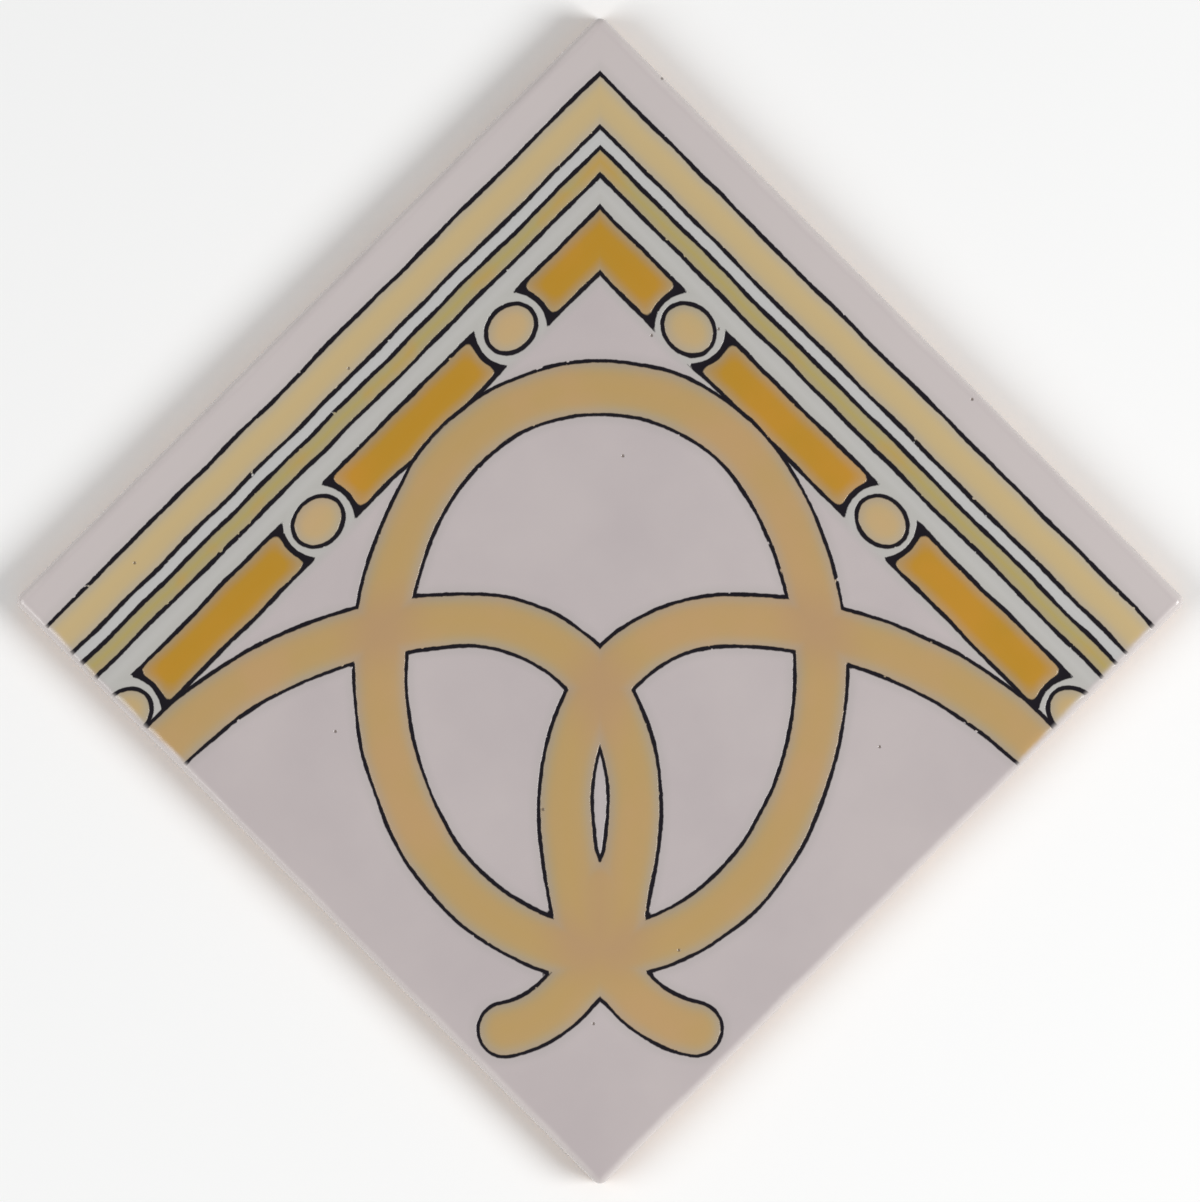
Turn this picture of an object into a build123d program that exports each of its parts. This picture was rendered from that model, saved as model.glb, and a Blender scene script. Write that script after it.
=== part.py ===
"""Corner tile: a square wall tile of pressed clay, glazed in raised pools between sunk dark lines.

The two outer edges of the border are at +X and +Y, the glazed face is up, and the back lies on Z = 0.
"""

import os
from math import isclose, sqrt

from build123d import *

# Clay blank
tile_side = 150.0
tile_thickness = 8.0  # from the back to the plain glaze
plan_corner_radius = 1.6
face_edge_radius = 1.4
back_edge_chamfer = 0.5

# Keys pressed into the back, for the adhesive
key_width = 6.0
key_depth = 0.5
key_pitch = 14.0
key_margin = 10.0  # plain rim left round the keys

# Glaze: coloured pools stand up, and the lines that part them are sunk
pool_height = 0.3
line_width = 0.9
line_depth = 0.3

# Border, from line to line, starting at the two outer edges
margin_width = 7.5
wide_stripe_width = 6.8
outer_gap_width = 2.6
narrow_stripe_width = 3.6
inner_gap_width = 4.1
band_width = 8.4

# Beads and bars of the band, with the last bead halved by the tile's inner edge
bead_length = 10.2
bead_pitch = 49.2
bead_collar = 2.1  # plain ring between a bead and the bars beside it
bead_count = 3
bar_tip_radius = 1.0  # the glaze draws back from the points of the bars, where the line is thick

# Interlaced ribbons: arcs that run on from each other, as radius and turn in degrees
ribbon_width = 9.6
ribbon_tuck = 0.5  # how far the loop's outline runs over the band's inner line
loop_crown = (35.6, 58.0)
loop_side = (64.0, 61.5)
loop_neck = (40.3, 44.5)
loop_cross = (28.8, -32.5)
loop_tail = (19.9, 38.0)
ring_sweep = (79.6, -44.3)
ring_bend = (29.0, -69.6)
ring_spoke = (42.0, -27.0)
ring_run_in = (180.0, -6.5)
web_length = 10.2  # how far up from their ends the two ring ribbons run as one, below the slit

half_side = tile_side / 2
reach = half_side - face_edge_radius
half_line = line_width / 2

stripe_start = margin_width
stripe_end = stripe_start + wide_stripe_width
narrow_start = stripe_end + outer_gap_width
narrow_end = narrow_start + narrow_stripe_width
band_start = narrow_end + inner_gap_width
band_end = band_start + band_width
band_centre = half_side - band_start - band_width / 2
bar_end_radius = bead_length / 2 + bead_collar

ribbon_ceiling = half_side - band_end - ribbon_width / 2
ring_start = (-half_side, ribbon_ceiling)
crown_radius = loop_crown[0]
crown_reach = ribbon_ceiling + ribbon_tuck - crown_radius + crown_radius / sqrt(2)
loop_start = (crown_reach, crown_reach)

key_length = tile_side - 2 * key_margin
key_count = int((key_length - key_width) // key_pitch) + 1

DIAGONAL_SIDES = (1, -1)


def corner_square(inset, mode=Mode.ADD):
    """Square from the tile's two inner edges to a line this far inside its outer edges."""
    size = reach + half_side - inset
    with Locations((-reach, -reach)):
        Rectangle(size, size, align=(Align.MIN, Align.MIN), mode=mode)


def corner_strip(start, end):
    """L-shaped strip that runs along both outer edges, between two distances from them."""
    corner_square(start)
    corner_square(end, Mode.SUBTRACT)


def bead_places():
    """Places of the beads on both arms of the band, from the tile's inner edges, turned to lie along it."""
    along = [bead_pitch * n - half_side for n in range(bead_count)]
    level = [Location((s, band_centre, 0)) for s in along]
    upright = [Location((band_centre, s, 0), (0, 0, 90)) for s in along]
    return level + upright


def bead_ovals(grow):
    """Beads as ovals, larger all round by this much."""
    with Locations(*bead_places()):
        Ellipse(bead_length / 2 + grow, band_width / 2 + grow)


def ribbon(width, start, heading, arcs):
    """Flat ribbon along arcs that run on to a round tip, with its mirror image in the diagonal."""
    for side in DIAGONAL_SIDES:
        point = start if side > 0 else start[::-1]
        way = Vector(1, 0).rotate(Axis.Z, heading if side > 0 else 90 - heading)
        for radius, turn in arcs:
            with BuildLine() as stroke:
                arc = JernArc(point, way, radius, side * turn)
            trace(stroke.line, line_width=width)
            point, way = arc @ 1, arc % 1
        with Locations(point):
            Circle(width / 2)
    return point


def ribbons(width):
    """The knotted loop with its two tails, and the two ring ribbons that close in towards its crossing."""
    ribbon(width, loop_start, 135, (loop_crown, loop_side, loop_neck, loop_cross, loop_tail))
    ring_end = ribbon(width, ring_start, 0, (ring_sweep, ring_bend, ring_spoke, ring_run_in))
    web_middle = (ring_end.X + ring_end.Y + web_length / sqrt(2)) / 2
    with Locations((web_middle, web_middle)):
        SlotCenterToCenter(web_length, width, rotation=45)


def on_diagonal(corner):
    """Whether a corner lies on the diagonal that the two sides of the pattern are mirrored in."""
    return isclose(corner.X, corner.Y, abs_tol=0.001)


with BuildSketch() as ribbon_pools:
    ribbons(ribbon_width - line_width)

with BuildSketch() as ribbon_bounds:
    ribbons(ribbon_width + line_width)

with BuildSketch() as bar_pools:
    corner_strip(band_start + half_line, band_end - half_line)
    with Locations(*bead_places()):
        Circle(bar_end_radius + half_line, mode=Mode.SUBTRACT)
    tips = [corner for corner in bar_pools.vertices() if not on_diagonal(corner)]
    fillet(tips, bar_tip_radius)

with BuildSketch() as bar_bounds:
    corner_strip(band_start - half_line, band_end + half_line)
    with Locations(*bead_places()):
        Circle(bar_end_radius - half_line, mode=Mode.SUBTRACT)

with BuildSketch() as bead_pools:
    bead_ovals(-half_line)

with BuildSketch() as bead_bounds:
    bead_ovals(half_line)

with BuildSketch() as stripe_pools:
    corner_strip(stripe_start + half_line, stripe_end - half_line)
    corner_strip(narrow_start + half_line, narrow_end - half_line)

with BuildSketch() as pools:
    add(bar_pools.sketch)
    add(bead_pools.sketch)
    add(ribbon_bounds.sketch, mode=Mode.SUBTRACT)
    add(ribbon_pools.sketch)
    add(stripe_pools.sketch)
    Rectangle(2 * reach, 2 * reach, mode=Mode.INTERSECT)

with BuildSketch() as lines:
    for rail in (stripe_start, stripe_end, narrow_start, narrow_end):
        corner_strip(rail - half_line, rail + half_line)
    add(bar_bounds.sketch)
    add(bead_bounds.sketch)
    add(ribbon_bounds.sketch)
    Rectangle(2 * reach, 2 * reach, mode=Mode.INTERSECT)
    add(pools.sketch, mode=Mode.SUBTRACT)

with BuildPart() as tile:
    with BuildSketch():
        RectangleRounded(tile_side, tile_side, plan_corner_radius)
    extrude(amount=tile_thickness)
    fillet(tile.faces().sort_by(Axis.Z)[-1].edges(), face_edge_radius)
    chamfer(tile.faces().sort_by(Axis.Z)[0].edges(), back_edge_chamfer)

    with BuildSketch():
        with GridLocations(key_pitch, key_pitch, 1, key_count):
            SlotOverall(key_length, key_width)
    extrude(amount=key_depth, mode=Mode.SUBTRACT)

    with BuildSketch(Plane.XY.offset(tile_thickness)):
        add(lines.sketch)
    extrude(amount=-line_depth, mode=Mode.SUBTRACT)

    with BuildSketch(Plane.XY.offset(tile_thickness)):
        add(pools.sketch)
    extrude(amount=pool_height)

tile.part.label = "corner_tile"

os.makedirs("parts", exist_ok=True)
export_step(tile.part, "parts/corner_tile.step")
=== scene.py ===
import bpy
import numpy as np
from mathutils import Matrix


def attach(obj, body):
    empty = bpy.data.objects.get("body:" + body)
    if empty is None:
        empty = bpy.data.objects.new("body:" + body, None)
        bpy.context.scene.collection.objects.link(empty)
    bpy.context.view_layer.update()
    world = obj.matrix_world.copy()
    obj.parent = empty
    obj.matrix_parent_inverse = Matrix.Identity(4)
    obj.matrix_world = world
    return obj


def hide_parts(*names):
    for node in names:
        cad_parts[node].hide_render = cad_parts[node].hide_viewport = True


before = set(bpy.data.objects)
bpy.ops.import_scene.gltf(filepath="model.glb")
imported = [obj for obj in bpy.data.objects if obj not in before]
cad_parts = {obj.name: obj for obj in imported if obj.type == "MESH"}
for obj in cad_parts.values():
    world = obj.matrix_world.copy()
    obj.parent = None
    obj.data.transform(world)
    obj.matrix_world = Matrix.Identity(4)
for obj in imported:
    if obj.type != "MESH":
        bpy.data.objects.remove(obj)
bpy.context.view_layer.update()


# Corner tile: a square of pressed and fired buff clay, its face flooded with glaze. A dark greasy line
# drawn on the biscuit kept the wet glazes apart, so in the kiln each colour melted into a low dome of
# its own, with the bare line sunk between. Sizes are in millimetres.
half_side = 75.0
plain_glaze_z = 8.0  # from the back to the plain glaze
corner_radius = 1.6
edge_radius = 1.4
back_chamfer = 0.5

# The border's lines and its band of beads and bars, as distances in from the two outer edges.
border_lines = (7.5, 14.3, 16.9, 20.5)
band = (24.6, 33.0)
half_line = 0.45
bead_half_length = 5.1
bead_pitch = 49.2
last_bead = 2  # the beads of an arm are counted from 0, at the tile's inner edge
bar_end_radius = 7.2
bar_point = 0.35  # how far the bars' pointed ends reach past their glaze
bar_draw_back = 1.9  # how widely the glaze rounds off by those points

# The ribbons' arcs run on from each other, each as its radius and its turn in degrees.
ribbon_half_width = 4.8
ribbon_tuck = 0.5  # how far the loop's outline runs over the band's inner line
loop_arcs = ((35.6, 58.0), (64.0, 61.5), (40.3, 44.5), (28.8, -32.5), (19.9, 38.0))
ring_arcs = ((79.6, -44.3), (29.0, -69.6), (42.0, -27.0), (180.0, -6.5))
ribbon_ceiling = half_side - band[1] - ribbon_half_width
crown_radius = loop_arcs[0][0]
crown = ribbon_ceiling + ribbon_tuck - crown_radius + crown_radius / np.sqrt(2)
merged_length = 10.2  # how far the ring ribbons run as one
slit_draw = 0.6  # how far the slit's lower point is drawn past the solid's blunt end
slit_taper = 3.0  # length of that point to its half width


def strand_distance(place, start, heading, arcs):
    """Distance of each place (x + iy) from a strand of arcs, given as radius and turn in degrees, and
    where the strand ends. Each arc goes on the way the last one ended, a positive turn bends left, and
    the distance is to the circle within the arc's angle and to the arc's nearer end elsewhere."""
    nearest = np.full(place.shape, np.inf)
    way = np.radians(heading)
    for radius, turn in arcs:
        sweep = np.radians(turn)
        centre = start + np.sign(turn) * radius * 1j * np.exp(1j * way)
        first = np.angle(start - centre)
        ends = radius * np.exp(1j * np.array([first, first + sweep]))
        arm = place - centre
        aside = np.abs(np.angle(arm * np.exp(-1j * (first + sweep / 2))))
        to_end = np.minimum(np.abs(arm - ends[0]), np.abs(arm - ends[1]))
        on_arc = aside <= abs(sweep) / 2
        nearest = np.minimum(nearest, np.where(on_arc, np.abs(np.abs(arm) - radius), to_end))
        start, way = centre + ends[1], way + sweep
    return nearest, start


def blended_lower(a, b, width):
    """Lower of two distances, eased below both by up to a quarter of width where they are near."""
    share = np.clip(0.5 + (b - a) / (2 * width), 0, 1)
    return a * share + b * (1 - share) - width * share * (1 - share)


def ornament(x, y):
    """Distances in millimetres from the drawn lines, negative inside. In order: the ribbons, how deep
    two of them overlap, the bars with pointed ends, the glaze of the bars that draws back from those
    points, the beads and the outer edges. The ring ribbons run as one below the slit between them,
    and the foot of the slit narrows to a point along two straight sides."""
    place, mirrored = x + 1j * y, y + 1j * x
    loop, _ = strand_distance(place, crown * (1 + 1j), 135, loop_arcs)
    other_loop, _ = strand_distance(mirrored, crown * (1 + 1j), 135, loop_arcs)
    ring, ring_end = strand_distance(place, -half_side + 1j * ribbon_ceiling, 0, ring_arcs)
    other_ring, _ = strand_distance(mirrored, -half_side + 1j * ribbon_ceiling, 0, ring_arcs)
    rise = (x + y - ring_end.real - ring_end.imag) / np.sqrt(2)
    aside = np.abs(x - y) / np.sqrt(2)
    merged_top = merged_length - slit_draw
    merged = np.hypot(rise - np.clip(rise, 0, merged_top), aside) - ribbon_half_width
    point = (rise - merged_top - ribbon_half_width - slit_taper * aside) / np.hypot(1, slit_taper)
    slit_foot = np.maximum.reduce([point, aside - ribbon_half_width / 2, merged_top / 2 - rise])
    strands = np.stack([np.minimum(loop, other_loop), ring, other_ring])
    strands = np.sort(strands, axis=0) - ribbon_half_width
    ribbon, overlap = np.minimum.reduce([strands[0], merged, slit_foot]), strands[1]

    outer = half_side - np.maximum(x, y)
    across = outer - sum(band) / 2
    along = np.minimum(x, y) + half_side
    bead_no = np.clip(np.round(along / bead_pitch), 0, last_bead)
    along = along - bead_no * bead_pitch
    half_width = (band[1] - band[0]) / 2
    ring_size = np.hypot(along / bead_half_length, across / half_width)
    steepness = np.hypot(along / bead_half_length**2, across / half_width**2)
    bead = ring_size * (ring_size - 1) / np.maximum(steepness, 1e-6)
    side, end = np.abs(across) - half_width, bar_end_radius - np.hypot(along, across)
    bar = np.maximum(side, end - bar_point)
    bar_glaze = -blended_lower(-side, -end, bar_draw_back)
    return ribbon, overlap, bar, bar_glaze, bead, outer


def dome(depth, shoulder, crest):
    """Height of a pool of melted glaze: nothing at the line, rising by a cubic to a flat crest."""
    return crest * (1 - (1 - np.clip(depth / shoulder, 0, 1)) ** 3)


def glaze_relief(x, y):
    """Height of the glaze over its plain level: a dome on each stripe, bar, bead and ribbon, and a
    valley along each line. The ribbons lie over the band, and where they cross they are one pool."""
    valley_depth, valley_reach = 0.06, 0.6
    ribbon, _, bar, bar_glaze, bead, outer = ornament(x, y)
    wide_out, wide_in, narrow_out, narrow_in = border_lines
    pools = np.maximum.reduce(
        [
            dome(np.minimum(outer - wide_out, wide_in - outer), shoulder=3.2, crest=0.22),
            dome(np.minimum(outer - narrow_out, narrow_in - outer), shoulder=1.8, crest=0.13),
            dome(-bar_glaze, shoulder=3.6, crest=0.27),
            dome(-bead, shoulder=3.8, crest=0.3),
        ]
    )
    lines = [np.abs(outer - r) for r in border_lines]
    lines += [np.maximum(bar, -bar_glaze), np.abs(bead), np.abs(ribbon)]
    valley = -valley_depth * np.exp(-((np.minimum.reduce(lines) / valley_reach) ** 2))
    height = np.where(ribbon < 0, dome(-ribbon, shoulder=4.2, crest=0.3), pools)
    return height + np.where(ribbon < -half_line, 0, valley)


def rounded(x, y, reach, radius):
    """Moves the corners of a square sheet of points in to a rounded outline: the corner square of
    side radius becomes a quarter disc, each coordinate a shrunk by the root of 1 - b*b / 2."""
    a = np.clip((np.abs(x) - reach + radius) / radius, 0, 1)
    b = np.clip((np.abs(y) - reach + radius) / radius, 0, 1)
    inside = (a > 0) & (b > 0)
    new_x = np.sign(x) * (reach - radius + radius * a * np.sqrt(1 - b * b / 2))
    new_y = np.sign(y) * (reach - radius + radius * b * np.sqrt(1 - a * a / 2))
    return np.where(inside, new_x, x), np.where(inside, new_y, y)


def inset_of(x, y):
    """Distance from each point in to the tile's rounded outline."""
    qx, qy = np.abs(x) - half_side + corner_radius, np.abs(y) - half_side + corner_radius
    beyond = np.hypot(np.maximum(qx, 0), np.maximum(qy, 0))
    return np.maximum(corner_radius - beyond - np.minimum(np.maximum(qx, qy), 0), 0)


def face_sheet():
    """Glazed face over a square net of lines, closer in the border and closest on the rounded edge,
    where a line stands at each even step of the edge's quarter circle."""
    edge_lines, field_lines, border_net_lines = 7, 198, 80
    fade_start, fade_length = 0.7, 1.6  # the relief dies away towards the rounded edge
    edge = edge_radius * (1 - np.cos(np.linspace(0, np.pi / 2, edge_lines)))[:-1]
    flat = half_side - edge_radius
    field = np.linspace(-flat, half_side - band[1], field_lines)[:-1]
    border = np.linspace(half_side - band[1], flat, border_net_lines)
    lines = np.concatenate([-half_side + edge, field, border, half_side - edge[::-1]])
    x, y = np.meshgrid(lines, lines)
    x, y = rounded(x, y, half_side, corner_radius)
    inset = inset_of(x, y)
    past_flat = np.maximum(edge_radius - inset, 0)
    fall = edge_radius - np.sqrt(np.maximum(edge_radius**2 - past_flat**2, 0))
    fade = np.clip((inset - fade_start) / fade_length, 0, 1)
    fade = fade * fade * (3 - 2 * fade)
    return x, y, plain_glaze_z + glaze_relief(x, y) * fade - fall


def back_sheet():
    """Back of the tile, flat but for parallel keys with round ends pressed into it, whose walls lean
    over half a millimetre. The net has lines at the walls and round ends of the keys."""
    key_half, key_half_length, key_pitch, key_depth = 3.0, 65.0, 14.0, 0.5
    last_key, wall_lean = 4, 0.5  # the keys are counted both ways from the middle one
    reach = half_side - back_chamfer
    corner = np.array([0.0, 0.35, 0.7, 1.1, 4.0])
    key = np.array([-3.3, -2.7, -1.6, 0.0, 1.6, 2.7, 3.3])
    keys = (np.arange(-last_key, last_key + 1)[:, None] * key_pitch + key).ravel()
    across = np.concatenate([-reach + corner, keys, reach - corner[::-1]])
    ends = np.concatenate([np.linspace(58, 61, 3)[:-1], np.linspace(61, 66, 13)])
    middle = np.linspace(-54, 54, 33)
    along = np.concatenate([-reach + corner, -ends[::-1], middle, ends, reach - corner[::-1]])
    x, y = np.meshgrid(along, across)
    nearest = y - key_pitch * np.clip(np.round(y / key_pitch), -last_key, last_key)
    past = np.maximum(np.abs(x) - key_half_length + key_half, 0)
    wall = np.clip((key_half - np.hypot(past, nearest)) / wall_lean + 0.5, 0, 1)
    x, y = rounded(x, y, reach, corner_radius - back_chamfer)
    return x, y, key_depth * wall


def rim_of(net):
    """Numbers of the points round a net's rim, anticlockwise from its first corner."""
    return np.concatenate([net[0, :-1], net[:-1, -1], net[-1, :0:-1], net[:0:-1, 0]])


def tile_mesh():
    """Closed skin of the tile: the face, the wall under its rim, a chamfer and the back. The wall's
    foot has one point to every four of the face's rim, so each wall face takes four rim edges."""
    face, back = face_sheet(), back_sheet()
    face_net = np.arange(face[0].size).reshape(face[0].shape)
    back_net = face_net.size + np.arange(back[0].size).reshape(back[0].shape)
    face_rim, back_rim = rim_of(face_net), rim_of(back_net)
    points = np.concatenate([np.stack(s, -1).reshape(-1, 3) for s in (face, back)])
    spread = half_side / (half_side - back_chamfer)
    foot = points[back_rim] * (spread, spread, 0)
    foot[:, 2] = back_chamfer
    foot_rim = len(points) + np.arange(len(foot))
    points = np.concatenate([points, foot])

    face_quads = np.stack([face_net[:-1, :-1], face_net[:-1, 1:], face_net[1:, 1:], face_net[1:, :-1]], -1)
    back_quads = np.stack([back_net[:-1, :-1], back_net[1:, :-1], back_net[1:, 1:], back_net[:-1, 1:]], -1)
    chamfer = np.stack([back_rim, np.roll(back_rim, -1), np.roll(foot_rim, -1), foot_rim], -1)
    ahead = np.roll(face_rim, -1)[3::4]
    wall = np.column_stack([foot_rim, np.roll(foot_rim, -1), ahead, face_rim.reshape(-1, 4)[:, ::-1]])
    groups = [g.reshape(-1, g.shape[-1]) for g in (face_quads, wall, chamfer, back_quads)]
    return points, groups


points, groups = tile_mesh()
mesh = bpy.data.meshes.new("corner_tile_glazed")
mesh.from_pydata((points / 1000).tolist(), [], [face for g in groups for face in g.tolist()])
group_of = np.repeat(np.arange(len(groups)), [len(g) for g in groups])
mesh.polygons.foreach_set("material_index", (group_of > 0).astype(np.int32))
mesh.polygons.foreach_set("use_smooth", np.ones(len(group_of), bool))
sharp_angle = 35
mesh.set_sharp_from_angle(angle=np.radians(sharp_angle))

drawn = ornament(points[:, 0], points[:, 1])
for name, values in zip(("ribbon_mm", "overlap_mm", "bar_mm", "bar_glaze_mm", "bead_mm"), drawn):
    mesh.attributes.new(name, "FLOAT", "POINT").data.foreach_set("value", values.astype(np.float32))

# Flat layout of the skin for its colour image: the face takes most of it, the back a small square
# beside the face, and each of the four walls a strip below.
corners = np.concatenate([g.ravel() for g in groups])
corner_group = np.repeat(np.arange(len(groups)), [g.size for g in groups])
centres = np.concatenate([points[g].mean(1) for g in groups])
centres = np.repeat(centres, np.concatenate([np.full(len(g), g.shape[1]) for g in groups]), axis=0)
x, y, z = points[corners].T / half_side
on_x = np.abs(centres[:, 0]) > np.abs(centres[:, 1])
wall_no = np.where(on_x, 0, 2) + (np.where(on_x, centres[:, 0], centres[:, 1]) > 0)
face_uv = np.stack([0.41 + 0.4 * x, 0.58 + 0.4 * y], -1)
back_uv = np.stack([0.905 + 0.085 * x, 0.58 + 0.085 * y], -1)
wall_uv = np.stack([0.125 + 0.25 * wall_no + 0.115 * np.where(on_x, y, x), 0.03 + 0.9 * z], -1)
on_face, on_back = (corner_group == 0)[:, None], (corner_group == 3)[:, None]
layout = np.where(on_face, face_uv, np.where(on_back, back_uv, wall_uv))
mesh.uv_layers.new(name="OFBake").data.foreach_set("uv", layout.ravel().astype(np.float32))

tile = bpy.data.objects.new("glazed_corner_tile", mesh)
bpy.context.scene.collection.objects.link(tile)


def tint(code, alpha=1.0):
    """Linear colour of an sRGB hex code: below 0.04045 divided by 12.92, above it the 2.4 power."""
    c = np.array([int(code[i : i + 2], 16) for i in (1, 3, 5)]) / 255
    return (*np.where(c <= 0.04045, c / 12.92, ((c + 0.055) / 1.055) ** 2.4), alpha)


def add(tree, kind, sockets=None, stops=None, **settings):
    """Adds a node with its settings, puts a value on each named socket or links a node's output to
    it, and gives a colour ramp its stops as place and colour."""
    node = tree.nodes.new("ShaderNode" + kind)
    for name, value in settings.items():
        setattr(node, name, value)
    for name, value in (sockets or {}).items():
        if isinstance(value, bpy.types.Node):
            value = value.outputs[0]
        if isinstance(value, bpy.types.NodeSocket):
            tree.links.new(value, node.inputs[name])
        else:
            node.inputs[name].default_value = value
    if stops:
        ramp = node.color_ramp.elements
        while len(ramp) < len(stops):
            ramp.new(1.0)
        for element, (place, colour) in zip(ramp, stops):
            element.position = place
            element.color = colour
    return node


# Tin-white glaze with coloured lead glazes, melted smooth: glossy and a little uneven, each colour
# deepest along the middle of its pool, the lines dark, dry and drawn by hand. Places are read in
# millimetres, so a noise's scale is a number of waves over a length: 7 / 100 is seven in 100 mm.
to_millimetres = 1000.0
glaze = bpy.data.materials.new("melted_tin_and_lead_glaze")
glaze.use_nodes = True
tree = glaze.node_tree
tree.nodes.clear()
place = add(tree, "TexCoord").outputs["Object"]
place = add(tree, "VectorMath", {0: place, "Scale": to_millimetres}, operation="SCALE")
part_of = add(tree, "SeparateXYZ", {0: place})
wander = add(tree, "TexNoise", {"Vector": place, "Scale": 7 / 100, "Detail": 1.0})
wander = add(tree, "MapRange", {0: wander, 1: 0.3, 2: 0.7, 3: -0.2, 4: 0.2})
fray = add(tree, "TexNoise", {"Vector": place, "Scale": 9 / 10, "Detail": 3.0})
fray = add(tree, "MapRange", {0: fray, 1: 0.3, 2: 0.7, 3: -0.06, 4: 0.06})
hand = add(tree, "Math", {0: wander, 1: fray}, operation="ADD")

reach = add(tree, "Math", {0: part_of.outputs[0], 1: part_of.outputs[1]}, operation="MAXIMUM")
outer = add(tree, "Math", {0: half_side, 1: reach}, operation="SUBTRACT")
outer = add(tree, "Math", {0: outer, 1: hand}, operation="ADD")
distance = {}
for name in ("ribbon", "overlap", "bar", "bar_glaze", "bead"):
    stored = add(tree, "Attribute", attribute_name=name + "_mm").outputs["Fac"]
    distance[name] = add(tree, "Math", {0: stored, 1: hand}, operation="ADD")

# Towards the tile's rounded edges the colours thin out and the lines end.
sides = [add(tree, "Math", {0: part_of.outputs[n]}, operation="ABSOLUTE") for n in (0, 1)]
furthest = add(tree, "Math", {0: sides[0], 1: sides[1]}, operation="MAXIMUM")
inset = add(tree, "Math", {0: half_side, 1: furthest}, operation="SUBTRACT")
inset = add(tree, "Math", {0: inset, 1: hand}, operation="ADD")
eased = "SMOOTHSTEP"
colour_fade = add(tree, "MapRange", {0: inset, 1: 0.3, 2: 2.2, 3: 0.0, 4: 1.0}, interpolation_type=eased)
line_fade = add(tree, "MapRange", {0: inset, 1: 0.5, 2: 1.1, 3: 0.0, 4: 1.0}, interpolation_type=eased)

# Plain glaze, faintly clouded, and the border's stripes from the outer edge inwards.
cloud = add(tree, "TexNoise", {"Vector": place, "Scale": 1 / 20, "Detail": 5.0})
plain = add(tree, "ValToRGB", {0: cloud}, stops=[(0.32, tint("#bbb1b1")), (0.68, tint("#c1b7b6"))])
span = 36.0
border_scale = add(tree, "MapRange", {0: outer, 1: 0.0, 2: span, 3: 0.0, 4: 1.0})
border_colour = add(
    tree,
    "ValToRGB",
    {0: border_scale},
    stops=[
        (r / span, tint(code, alpha))
        for r, code, alpha in (
            (0.0, "#cac1bf", 0.8),
            (7.2, "#c9c0be", 0.8),
            (7.6, "#beb199", 1.0),
            (9.0, "#c5af83", 1.0),
            (10.6, "#c6ae7e", 1.0),
            (12.6, "#c2ac80", 1.0),
            (14.2, "#b6a78e", 1.0),
            (14.4, "#c3c2c1", 1.0),
            (16.8, "#c2c1c0", 1.0),
            (17.0, "#ab9d70", 1.0),
            (18.7, "#af9d5c", 1.0),
            (20.4, "#a6966c", 1.0),
            (20.6, "#bebcb9", 1.0),
            (24.0, "#bcbab5", 1.0),
            (33.0, "#bcb9b5", 1.0),
            (35.5, "#beb4b4", 0.0),
        )
    ],
)
border_fade = add(tree, "Math", {0: border_colour.outputs["Alpha"], 1: colour_fade}, operation="MULTIPLY")
colour = add(tree, "Mix", {"Factor": border_fade, 6: plain, 7: border_colour}, data_type="RGBA")

# Each colour drifts slowly from place to place.
drift = add(tree, "TexNoise", {"Vector": place, "Scale": 1 / 20, "Detail": 4.0})
drift = add(tree, "MapRange", {0: drift, 1: 0.42, 2: 0.7, 3: 0.0, 4: 0.6}, interpolation_type=eased)

# Amber gathers here and there in the narrow stripe, and most where it turns the corner.
skew = add(tree, "Math", {0: part_of.outputs[0], 1: part_of.outputs[1]}, operation="SUBTRACT")
skew = add(tree, "Math", {0: skew}, operation="ABSOLUTE")
turn = add(tree, "MapRange", {0: skew, 1: 10.0, 2: 1.0, 3: 0.0, 4: 0.65}, interpolation_type=eased)
from_middle = add(tree, "Math", {0: outer, 1: sum(border_lines[2:]) / 2}, operation="SUBTRACT")
from_middle = add(tree, "Math", {0: from_middle}, operation="ABSOLUTE")
in_stripe = add(tree, "MapRange", {0: from_middle, 1: 1.7, 2: 0.9, 3: 0.0, 4: 1.0}, interpolation_type=eased)
blot = add(tree, "TexNoise", {"Vector": place, "Scale": 9 / 100, "Detail": 2.0})
blot = add(tree, "MapRange", {0: blot, 1: 0.5, 2: 0.68, 3: 0.0, 4: 0.5}, interpolation_type=eased)
turn = add(tree, "Math", {0: turn, 1: blot}, operation="MAXIMUM")
turn = add(tree, "Math", {0: turn, 1: in_stripe}, operation="MULTIPLY")
colour = add(tree, "Mix", {"Factor": turn, 6: colour.outputs[2], 7: tint("#c0943c")}, data_type="RGBA")

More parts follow.
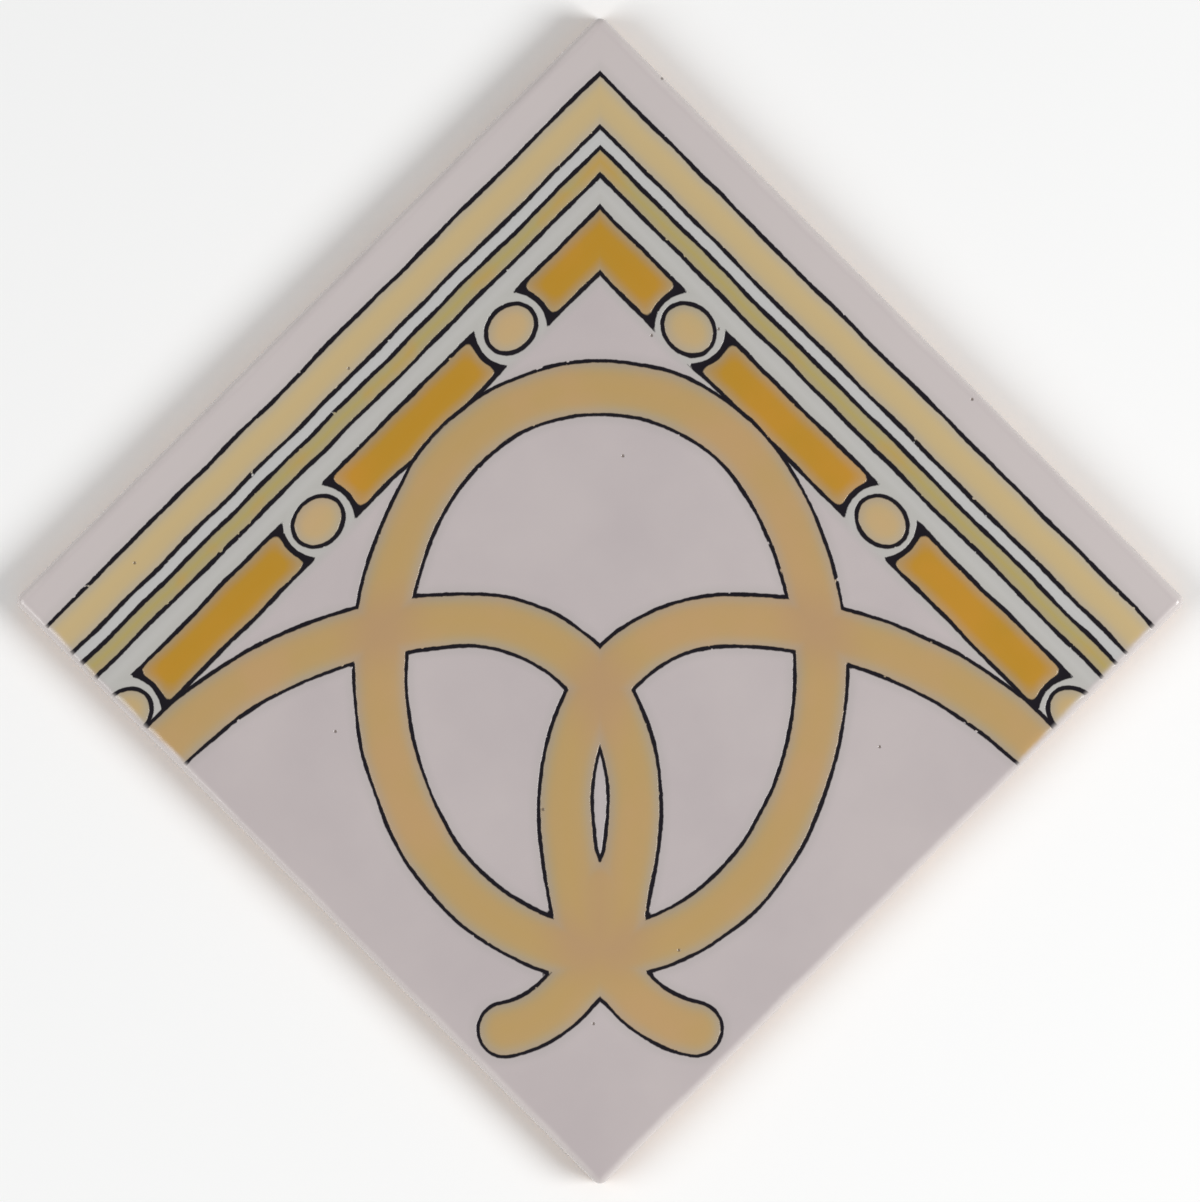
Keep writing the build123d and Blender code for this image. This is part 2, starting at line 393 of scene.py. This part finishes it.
# Pools of coloured glaze, from the middle out to the line.
crossing = add(
    tree, "MapRange", {0: distance["overlap"], 1: 6.0, 2: -4.5, 3: 0.0, 4: 0.9}, interpolation_type=eased
)
amber = ((-4.2, "#b78720"), (-2.4, "#b68826"), (-1.2, "#af863a"), (-0.4, "#a98c58"))
honey = ((-4.2, "#c0a572"), (-2.4, "#bda576"), (-1.2, "#b6a47f"), (-0.4, "#ada086"))
ochre = ((-4.8, "#b99962"), (-2.8, "#b89965"), (-1.4, "#b2996d"), (-0.4, "#aa9678"))
pools = (
    ("bar_glaze", "#c48a2a", drift, amber),
    ("bead", "#c5a57a", drift, honey),
    ("ribbon", "#be996d", drift, ochre),
    ("ribbon", "#b4926b", crossing, ()),
)
deepest = 5.0
for name, second_tint, second_share, shades in pools:
    if shades:
        depth = add(tree, "MapRange", {0: distance[name], 1: -deepest, 2: 0.0, 3: 0.0, 4: 1.0})
        stops = [(1 + d / deepest, tint(code)) for d, code in shades]
        shade = add(tree, "ValToRGB", {0: depth}, stops=stops).outputs[0]
    mixed = add(tree, "Mix", {"Factor": second_share, 6: shade, 7: tint(second_tint)}, data_type="RGBA")
    shade = mixed.outputs[2]
    inside = add(tree, "MapRange", {0: distance[name], 1: 0.15, 2: -0.15, 3: 0.0, 4: 1.0})
    inside = add(tree, "Math", {0: inside, 1: colour_fade}, operation="MULTIPLY")
    colour = add(tree, "Mix", {"Factor": inside, 6: colour.outputs[2], 7: shade}, data_type="RGBA")

# Drawn lines: how far each place is from the middle of the nearest one. The ribbons lie over the
# band, and their lines are a little finer than the rest.
over_band = add(tree, "Math", {0: distance["ribbon"], 1: -1.0}, operation="MULTIPLY")
inner_bar = add(tree, "Math", {0: distance["bar_glaze"], 1: -1.0}, operation="MULTIPLY")
bar_line = add(tree, "Math", {0: distance["bar"], 1: inner_bar}, operation="MAXIMUM")
bead_line = add(tree, "Math", {0: distance["bead"]}, operation="ABSOLUTE")
nearest = add(tree, "Math", {0: distance["ribbon"]}, operation="ABSOLUTE")
ribbon_line_thinner = 0.05
nearest = add(tree, "Math", {0: nearest, 1: ribbon_line_thinner}, operation="ADD")
for away in (bar_line, bead_line):
    away = add(tree, "Math", {0: away, 1: over_band}, operation="MAXIMUM")
    nearest = add(tree, "Math", {0: nearest, 1: away}, operation="MINIMUM")
for rail in border_lines:
    away = add(tree, "Math", {0: outer, 1: rail}, operation="SUBTRACT")
    away = add(tree, "Math", {0: away}, operation="ABSOLUTE")
    nearest = add(tree, "Math", {0: nearest, 1: away}, operation="MINIMUM")

halo = add(tree, "MapRange", {0: nearest, 1: 2.4, 2: 0.5, 3: 0.0, 4: 0.22}, interpolation_type=eased)
colour = add(tree, "Mix", {"Factor": halo, 6: colour.outputs[2], 7: tint("#a3a19b")}, data_type="RGBA")

# The stroke swells and thins slowly, and glaze has crept over it in a few small nicks.
swell = add(tree, "TexNoise", {"Vector": place, "Scale": 4 / 25, "Detail": 1.0})
swell = add(tree, "MapRange", {0: swell, 1: 0.3, 2: 0.7, 3: -0.05, 4: 0.08})
nick = add(tree, "TexNoise", {"Vector": place, "Scale": 7 / 10, "Detail": 1.0})
nick = add(tree, "MapRange", {0: nick, 1: 0.71, 2: 0.84, 3: 0.0, 4: 0.35})
stroke = add(tree, "Math", {0: nearest, 1: swell}, operation="ADD")
stroke = add(tree, "Math", {0: stroke, 1: nick}, operation="ADD")
stroke = add(tree, "MapRange", {0: stroke, 1: 0.52, 2: 0.3, 3: 0.0, 4: 1.0}, interpolation_type=eased)
stroke = add(tree, "Math", {0: stroke, 1: line_fade}, operation="MULTIPLY")
colour = add(tree, "Mix", {"Factor": stroke, 6: colour.outputs[2], 7: tint("#17131a")}, data_type="RGBA")

# On the rounded edges the glaze is thin, and the rim is painted paler than the plain glaze as a highlight.
thin_glaze_and_painted_highlight = add(tree, "MapRange", {0: inset, 1: 1.7, 2: 0.3, 3: 0.0, 4: 0.7}, interpolation_type=eased)
colour = add(tree, "Mix", {"Factor": thin_glaze_and_painted_highlight, 6: colour.outputs[2], 7: tint("#ddd5d1")}, data_type="RGBA")

# Pinholes: a few specks where the clay gassed through the glaze.
specks = add(tree, "TexVoronoi", {"Vector": place, "Scale": 1 / 25}, voronoi_dimensions="2D")
chosen = add(tree, "SeparateColor", {0: specks.outputs["Color"]})
chosen = add(tree, "Math", {0: chosen, 1: 0.6}, operation="GREATER_THAN")
pinhole = add(tree, "MapRange", {0: specks, 1: 0.014, 2: 0.007, 3: 0.0, 4: 0.75})
pinhole = add(tree, "Math", {0: pinhole, 1: chosen}, operation="MULTIPLY")
colour = add(tree, "Mix", {"Factor": pinhole, 6: colour.outputs[2], 7: tint("#5b4a3d")}, data_type="RGBA")

roughness = add(tree, "MapRange", {0: stroke, 1: 0.0, 2: 1.0, 3: 0.17, 4: 0.6})
shine = add(tree, "MapRange", {0: stroke, 1: 0.0, 2: 1.0, 3: 0.5, 4: 0.1})
ripple = add(tree, "TexNoise", {"Vector": place, "Scale": 3 / 20, "Detail": 2.0})
sunk = add(tree, "MapRange", {0: stroke, 1: 0.0, 2: 1.0, 3: 0.0, 4: -0.08})
height = add(tree, "Math", {0: ripple, 1: 0.05, 2: sunk}, operation="MULTIPLY_ADD")
height = add(tree, "Math", {0: pinhole, 1: -0.1, 2: height}, operation="MULTIPLY_ADD")
bump = add(tree, "Bump", {"Height": height, "Strength": 1.0, "Distance": 0.001})
surface = add(
    tree,
    "BsdfPrincipled",
    {
        "Base Color": colour.outputs[2],
        "Roughness": roughness,
        "Specular IOR Level": shine,
        "IOR": 1.52,
        "Normal": bump,
    },
)
add(tree, "OutputMaterial", {"Surface": surface})

# Fired buff clay: dry and faintly sandy, with glaze that ran over the top of the wall.
biscuit = bpy.data.materials.new("fired_buff_clay")
biscuit.use_nodes = True
tree = biscuit.node_tree
tree.nodes.clear()
place = add(tree, "TexCoord").outputs["Object"]
place = add(tree, "VectorMath", {0: place, "Scale": to_millimetres}, operation="SCALE")
part_of = add(tree, "SeparateXYZ", {0: place})
cloud = add(tree, "TexNoise", {"Vector": place, "Scale": 1 / 20, "Detail": 4.0})
clay = add(tree, "ValToRGB", {0: cloud}, stops=[(0.35, tint("#b58d6b")), (0.65, tint("#c39c79"))])
grit = add(tree, "TexNoise", {"Vector": place, "Scale": 16 / 10, "Detail": 3.0})
speck = add(tree, "MapRange", {0: grit, 1: 0.62, 2: 0.72, 3: 0.0, 4: 0.45})
clay = add(tree, "Mix", {"Factor": speck, 6: clay, 7: tint("#8d6a50")}, data_type="RGBA")
drip = add(tree, "TexNoise", {"Vector": place, "Scale": 13 / 100, "Detail": 1.0})
drip = add(tree, "MapRange", {0: drip, 1: 0.3, 2: 0.7, 3: -1.1, 4: 1.1})
level = add(tree, "Math", {0: part_of.outputs[2], 1: drip}, operation="ADD")
run = add(tree, "MapRange", {0: level, 1: 5.3, 2: 5.6, 3: 0.0, 4: 1.0}, interpolation_type=eased)
colour = add(tree, "Mix", {"Factor": run, 6: clay.outputs[2], 7: tint("#d6cdc9")}, data_type="RGBA")
roughness = add(tree, "MapRange", {0: run, 1: 0.0, 2: 1.0, 3: 0.88, 4: 0.22})
height = add(tree, "Math", {0: grit, 1: 0.08, 2: run}, operation="MULTIPLY_ADD")
bump = add(tree, "Bump", {"Height": height, "Strength": 1.0, "Distance": 0.00025})
surface = add(
    tree,
    "BsdfPrincipled",
    {"Base Color": colour.outputs[2], "Roughness": roughness, "IOR": 1.5, "Normal": bump},
)
add(tree, "OutputMaterial", {"Surface": surface})

for material in (glaze, biscuit):
    mesh.materials.append(material)
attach(tile, "root")
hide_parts("corner_tile")


# Studio: a pale seamless floor of white paper under the tile, with a soft key light and a soft fill on
# opposite sides, both so low that only the tile's rounded rim mirrors them to the camera above.
floor_reach = 4
floor_mesh = bpy.data.meshes.new("pale_floor")
floor_corners = [(a * floor_reach, b * floor_reach, 0) for a, b in ((-1, -1), (1, -1), (1, 1), (-1, 1))]
floor_mesh.from_pydata(floor_corners, [], [(0, 1, 2, 3)])
floor = bpy.data.objects.new("pale_floor", floor_mesh)
bpy.context.scene.collection.objects.link(floor)
paper = bpy.data.materials.new("white_paper_sweep")
paper.use_nodes = True
paper_inputs = paper.node_tree.nodes["Principled BSDF"].inputs
paper_inputs["Base Color"].default_value = tint("#f8f8f7")
paper_inputs["Roughness"].default_value = 0.9
floor_mesh.materials.append(paper)

world = bpy.data.worlds.new("studio_air")
world.use_nodes = True
air_inputs = world.node_tree.nodes["Background"].inputs
air_inputs["Color"].default_value = tint("#f6f7f9")
air_inputs["Strength"].default_value = 0.32
bpy.context.scene.world = world
bpy.context.scene.view_settings.view_transform = "Standard"

for name, place, size, watts in (
    ("soft_key", (0.55, -0.95, 0.95), 0.8, 14.5),
    ("soft_fill", (-1.05, 0.6, 1.1), 1.2, 11.9),
):
    lamp = bpy.data.lights.new(name, "AREA")
    lamp.shape, lamp.size, lamp.energy = "DISK", size, watts
    lamp_object = bpy.data.objects.new(name, lamp)
    lamp_object.location = place
    x, y, z = place
    lamp_object.rotation_euler = (np.arctan2(np.hypot(x, y), z), 0, np.arctan2(y, x) + np.pi / 2)
    bpy.context.scene.collection.objects.link(lamp_object)

camera_data = bpy.data.cameras.new("overhead_camera")
sensor_width, frame_width, stand_off = 36.0, 0.2173, 1.6
camera_data.sensor_width = sensor_width
camera_data.lens = sensor_width * (stand_off - plain_glaze_z / 1000) / frame_width
camera_data.clip_end = 20.0
camera = bpy.data.objects.new("overhead_camera", camera_data)
camera.location = (0, 0, stand_off)
camera.rotation_euler = (0, 0, -np.pi / 4)
bpy.context.scene.collection.objects.link(camera)
bpy.context.scene.camera = camera
